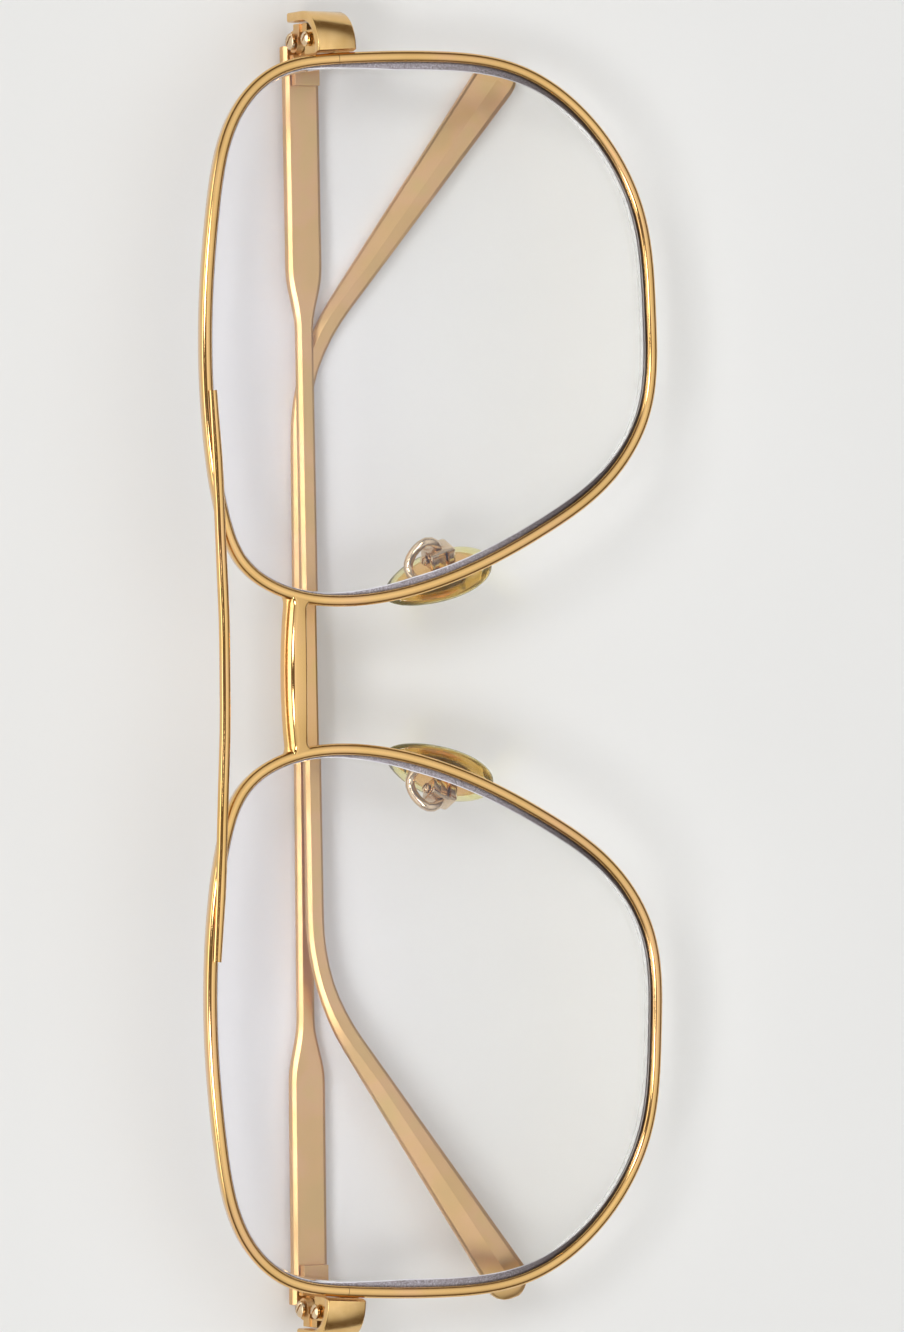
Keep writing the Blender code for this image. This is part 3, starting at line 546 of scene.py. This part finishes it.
class Eye:
    """One lens opening: stations round it, each with its outward side and the curve's normal."""

    def __init__(self, side):
        self.side = side
        ring, self.middle = lens_edge(f"lens_{side}")
        self.sign = 1 if self.middle.x > 0 else -1
        self.top_x = self.middle.x - self.sign * wrap_shift
        upper, lower = (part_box(f"rim_lock_{part}_{side}") for part in ("upper", "lower"))
        split_x = self.sign * max(abs(upper[0][0]), abs(upper[1][0]))
        split = Vector((split_x, (upper[0][1] + lower[1][1]) / 2))
        points = resampled(ring, rim_stations, split, split_line)
        apex_depth = groove_front + groove_width / 2
        apex_out = groove_depth - lens_play
        self.stations = []
        for k, point in enumerate(points):
            ahead = points[min(k + 1, rim_stations - 1)] - points[max(k - 1, 0)]
            normal = self.normal(point.x, point.y)
            out = ahead.cross(normal).normalized()
            if out.dot(point - self.middle) < 0:
                out = -out
            self.stations.append((point + normal * apex_depth - out * apex_out, out, normal))
        heights = [start.z - self.dome(start.x, start.y) for start, _, _ in self.stations]
        self.top_z = sum(heights) / len(heights)

    def dome(self, x, y):
        """Height on the front's curve, measured from its top."""
        return -((x - self.top_x) ** 2 + y ** 2) / (2 * front_radius)

    def normal(self, x, y):
        """Direction square to the front's curve."""
        return Vector(((x - self.top_x) / front_radius, y / front_radius, 1)).normalized()

    def below(self, x, y, depth):
        """The point at a depth under the front's curve."""
        return Vector((x, y, self.top_z + self.dome(x, y))) - self.normal(x, y) * depth

    def rows(self, profile):
        """Sections round the opening: profile runs outward from it and down from the rim's front."""
        return [[start + out * across + normal * down for across, down in profile]
                for start, out, normal in self.stations]

    def nose_crossing(self, height):
        """The rim wire's middle where it crosses a height on the nose side."""
        line = [start + out * rim_wall / 2 for start, out, _ in self.stations if out.x * self.sign < 0]
        line.sort(key=lambda point: point.y)
        k = next(k for k in range(1, len(line)) if line[k].y >= height)
        low, high = line[k - 1], line[k]
        return low.lerp(high, (height - low.y) / (high.y - low.y))


def build_rim(eye):
    """The rim wire: a crowned front, the lens's groove inside and a rounded back."""
    half = rim_wall / 2
    profile = arc((half, -rim_crown), half, rim_crown, 0, 180, 14)
    profile += [(groove_depth, -groove_front - groove_width / 2), (0, -groove_front - groove_width)]
    profile += arc((half, -rim_depth + rim_back_crown), half, rim_back_crown, 180, 360, 10)
    rim = add_piece(f"rim_{eye.side}_wire", loft(eye.rows(profile)), [polished_gold], wire_angle)
    stand_for(rim, f"rim_{eye.side}")


def build_lens(eye):
    """The lens as a fine curved sheet, with its ground bevel in the rim's groove."""
    back = lens_set_back + lens_thickness
    profile = [(-lens_play, -lens_set_back), (groove_depth - lens_play, -groove_front - groove_width / 2),
               (-lens_play, -groove_front - groove_width), (-lens_play, -back)]
    edge = eye.rows(profile)
    shares = [0.04, 0.12, 0.24, 0.36, 0.48, 0.60, 0.72, 0.82, 0.90, 0.96]
    centre = eye.middle

    def ring(share, depth):
        flat = [centre.lerp(start, share) for start, _, _ in eye.stations]
        return [eye.below(point.x, point.y, depth) for point in flat]

    rings = [ring(share, lens_set_back) for share in shares]
    rings += [[row[k] for row in edge] for k in range(len(profile))]
    rings += [ring(share, back) for share in reversed(shares)]
    bm = loft(rings)
    ground = {len(shares), len(shares) + 1}  # the two strips of faces that make the bevel
    bm.faces.ensure_lookup_table()
    for number, face in enumerate(bm.faces):
        if number // rim_stations in ground:
            face.material_index = 1
    lens = add_piece(f"lens_{eye.side}_glass", bm, [clear_lens, ground_edge], angle=25)
    stand_for(lens, f"lens_{eye.side}")


def band_width(point, out, sign):
    """How much of the ground edge shows: most at the temple and the nose, least at the brow."""
    temple = max(0.0, out.x * sign) ** band_temple_power * band_temple
    nose = max(0.0, -out.x * sign) ** band_nose_power * band_nose
    fade = min(1.0, max(0.0, (band_top - point.y) / (band_top - band_full)))
    return band_least + (temple + nose) * fade + band_cheek * max(0.0, -out.y)


def build_band(eye):
    """The ground edge of the lens seen through its front, and a painted highlight line along the corner
    inside it.
    """
    # the corner ring is the painted highlight line
    for name, mat in (("ground_edge", ground_edge), ("corner", painted_glint)):
        rows = []
        for start, out, normal in eye.stations:
            width = band_width(start, out, eye.sign)
            near, far = (0.0, -width) if mat is ground_edge else (-width, -width - glint_width)
            profile = ((near, -band_depth), (far, -band_depth), (far, -band_depth - band_thick),
                       (near, -band_depth - band_thick))
            rows.append([start + out * across + normal * down for across, down in profile])
        ring = add_piece(f"lens_{eye.side}_{name}", loft(rows, closed=True), [mat], angle=30)
        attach(ring, "front")


eyes = {side: Eye(side) for side in ("left", "right")}
for eye in eyes.values():
    build_rim(eye)
    build_lens(eye)
    build_band(eye)


# Bridge


def bridge_section(tall, deep):
    """Outline across the bridge: a long slope where its top meets its face, small rounds elsewhere."""
    place = Vector((tall, 0))
    for radius, start, end in bridge_slope:
        place.x -= radius * (cos(radians(end)) - cos(radians(start)))
    slope = []
    for radius, start, end in bridge_slope:
        centre = place - radius * Vector((cos(radians(start)), sin(radians(start))))
        turn = arc(centre, radius, radius, start, end, 6)
        slope += turn[1:] if slope else turn
        place = Vector(turn[-1])
    points = slope[::-1]
    small = bridge_round
    points += arc((small, -small), small, small, 90, 180, 5)
    points += arc((small, small - deep), small, small, 180, 270, 5)
    points += arc((tall - small, small - deep), small, small, 270, 360, 5)
    return points


def build_bridge(eye):
    """The lower bridge, arched up and out, that swells at both ends into the rims."""
    high = Vector(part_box("bridge")[1])
    end = eye.nose_crossing(high.y - bridge_rise - bridge_face / 2)
    end_front = eye.below(end.x, end.y, bridge_sink).z
    rows = []
    for k in range(bridge_stations + 1):
        t = 2 * k / bridge_stations - 1
        swell = max(0.0, (abs(t) - fillet_start) / (1 - fillet_start)) ** fillet_power
        upper = high.y - bridge_rise * t * t + fillet_upper * swell
        lower = high.y - bridge_face - bridge_sag * t * t - fillet_lower * swell
        front = high.z + (end_front - high.z) * t * t
        row = []
        for across, down in bridge_section(upper - lower, bridge_deep):
            height = lower + across
            row.append(Vector((t * eye.nose_crossing(height).x, height, front + down)))
        rows.append(row)
    bridge = add_piece("bridge_bar", loft(rows), [polished_gold], wire_angle)
    stand_for(bridge, "bridge")


build_bridge(eyes["left"])


# Rigid pieces with their CAD shape


machined("brow_bar", polished_gold, wire_edge, wire_angle)
for side in ("left", "right"):
    machined(f"end_piece_{side}", satin_gold, strip_edge)
    machined(f"rim_lock_upper_{side}", satin_gold, strip_edge)
    machined(f"rim_lock_lower_{side}", satin_gold, strip_edge)
    machined(f"hinge_leaf_front_{side}", champagne_gold, leaf_edge)
    machined(f"hinge_leaf_temple_{side}", champagne_gold, leaf_edge)
    build_temple(eyes[side])
    machined(f"pad_arm_{side}", pale_gold, wire_edge, wire_angle)
    machined(f"pad_box_{side}", pale_gold, box_edge)
    machined(f"pad_insert_{side}", polished_gold, wire_edge)


# Screws with their slots


def slotted(node, axis, radius):
    """A screw with a screwdriver slot cut across its head."""
    piece = add_piece(node + "_finished", solid_copy(node), [turned_gold])
    head = max(vertex.co.dot(axis) for vertex in piece.data.vertices)
    low, high = (Vector(corner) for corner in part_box(node))
    middle = (low + high) / 2
    top = middle + axis * (head - middle.dot(axis))
    long = axis.orthogonal().normalized()
    short = axis.cross(long)
    rows = []
    for depth in (-slot_depth, slot_depth):
        rows.append([top + axis * depth + long * a * radius * slot_reach + short * b * slot_width / 2
                     for a, b in ((1, 1), (-1, 1), (-1, -1), (1, -1))])
    cutter = add_piece(node + "_slot", loft(rows), [turned_gold])
    cut = piece.modifiers.new("slot", "BOOLEAN")
    cut.object = cutter
    cut.operation = "DIFFERENCE"
    cut.solver = "EXACT"
    bpy.context.view_layer.update()
    graph = bpy.context.evaluated_depsgraph_get()
    mesh = bpy.data.meshes.new_from_object(piece.evaluated_get(graph))
    piece.modifiers.clear()
    piece.data = mesh
    bpy.data.objects.remove(cutter, do_unlink=True)
    mesh.shade_smooth()
    mesh.set_sharp_from_angle(angle=radians(sharp_angle))
    soften(piece, screw_edge, sharp_angle)
    stand_for(piece, node)


def pad_directions(sign):
    """Along, across and out of the nose pad's face, as in the CAD model."""
    along = Vector((-sign * sin(pad_slope), cos(pad_slope), 0))
    back = Vector((sign * sin(pad_splay), 0, -cos(pad_splay)))
    across = (back - along * back.dot(along)).normalized()
    return along, across, along.cross(across)


brow_wards = Vector((0, 1, 0))
for side, eye in eyes.items():
    slotted(f"hinge_screw_{side}", brow_wards, hinge_head)
    slotted(f"rim_lock_screw_{side}", brow_wards, lock_head)
    slotted(f"pad_screw_{side}", pad_directions(eye.sign)[0], pad_head)


# Nose pads


def build_pad(eye):
    """The soft pad, and the gold plate that shows through it."""
    node = f"nose_pad_{eye.side}"
    pad = add_piece(f"soft_pad_{eye.side}", solid_copy(node), [clear_pad], angle=80)
    smooth = pad.modifiers.new("smooth", "SUBSURF")
    smooth.levels = 2
    smooth.render_levels = 2
    stand_for(pad, node)

    along, across, out = pad_directions(eye.sign)
    places = [vertex.co for vertex in frame["nodes"][node].data.vertices]
    middle = Vector()
    halves = []
    for way in (along, across, out):
        reach = [place.dot(way) for place in places]
        middle += way * (min(reach) + max(reach)) / 2
        halves.append((max(reach) - min(reach)) / 2)
    half_long = halves[0] * foil_share
    half_wide = halves[1] * foil_share
    rows = []
    for rise, share in ((-0.5, foil_edge), (-0.2, 1.0), (0.2, 1.0), (0.5, foil_edge)):
        centre = middle + out * foil_thick * rise
        ring = arc((0, 0), half_long * share, half_wide * share, 0, 360, 48)[:-1]
        rows.append([centre + along * a + across * b * (1 - foil_taper * a / half_long) for a, b in ring])
    foil = add_piece(f"pad_foil_{eye.side}", loft(rows), [satin_gold], wire_angle)
    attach(foil, body_of_node(node))


for eye in eyes.values():
    build_pad(eye)


# Floor


def build_floor():
    bm = bmesh.new()
    bmesh.ops.create_grid(bm, x_segments=8, y_segments=8, size=floor_half)
    floor = add_piece("floor", bm, [floor_material()])
    floor.location.z = -floor_gap


build_floor()


# Light: a soft sky, a low window on the brow side between two soft boxes, and a dark camera stand


to_camera = Vector((0, sin(view_tilt), cos(view_tilt)))


def near_direction(tree, vector, towards, full, none):
    """One within an angle of a direction, fading to zero further away."""
    dot = tree.nodes.new("ShaderNodeVectorMath")
    dot.operation = "DOT_PRODUCT"
    dot.inputs[1].default_value = towards
    tree.links.new(vector, dot.inputs[0])
    return between(tree, dot.outputs["Value"], 0, 1, cos(radians(none)), cos(radians(full)), "SMOOTHSTEP")


def mixed(tree, factor, first, second):
    """Goes from the first colour, a socket, to the second, a value, as the factor rises."""
    node = tree.nodes.new("ShaderNodeMix")
    node.data_type = "RGBA"
    tree.links.new(factor, node.inputs["Factor"])
    tree.links.new(first, node.inputs[mix_first])
    node.inputs[mix_second].default_value = (*second, 1)
    return node.outputs[mix_result]


def build_world():
    world = bpy.data.worlds.new("studio")
    bpy.context.scene.world = world
    world.use_nodes = True
    tree = world.node_tree
    background = tree.nodes["Background"]
    direction = tree.nodes.new("ShaderNodeTexCoord").outputs["Generated"]
    split = tree.nodes.new("ShaderNodeSeparateXYZ")
    tree.links.new(direction, split.inputs["Vector"])
    side, brow, up = (split.outputs[axis] for axis in "XYZ")
    away = maths(tree, "ABSOLUTE", side)

    def ramp(value, none, full):
        return between(tree, value, 0, 1, none, full, "SMOOTHSTEP")

    def patch(up_range, away_range, brow_range):
        """One where a direction is full in all three ranges, and zero where it is out of any."""
        sides = maths(tree, "MULTIPLY", ramp(up, *up_range), ramp(away, *away_range))
        return maths(tree, "MULTIPLY", sides, ramp(brow, *brow_range))

    sky = colours(tree, up, sky_stops)
    sky = mixed(tree, patch(window_up, window_away, window_brow), sky, window_light)
    column = patch(stand_up, stand_away, stand_brow)
    dark = maths(tree, "MAXIMUM", column, near_direction(tree, direction, to_camera, *camera_angles))
    sky = mixed(tree, dark, sky, stand_dark)
    for turn in (-box_turn, box_turn):
        towards = Vector((sin(turn) * cos(box_height), cos(turn) * cos(box_height), sin(box_height)))
        sky = mixed(tree, near_direction(tree, direction, towards, *box_angles), sky, box_light)
    tree.links.new(sky, background.inputs["Color"])
    background.inputs["Strength"].default_value = world_level


build_world()


# Camera


def build_camera():
    roll = Matrix.Rotation(view_roll, 3, to_camera)
    up = roll @ Vector((1, 0, 0))
    right = up.cross(to_camera)
    data = bpy.data.cameras.new("camera")
    data.sensor_fit = "AUTO"
    data.sensor_width = sensor_width
    data.lens = sensor_width * view_distance / view_height
    data.clip_start = 0.01
    camera = bpy.data.objects.new("camera", data)
    bpy.context.collection.objects.link(camera)
    turned = Matrix((right, up, to_camera)).transposed().to_4x4()
    camera.matrix_world = Matrix.Translation(view_target + to_camera * view_distance) @ turned
    bpy.context.scene.camera = camera


build_camera()
bpy.context.scene.view_settings.view_transform = "Standard"
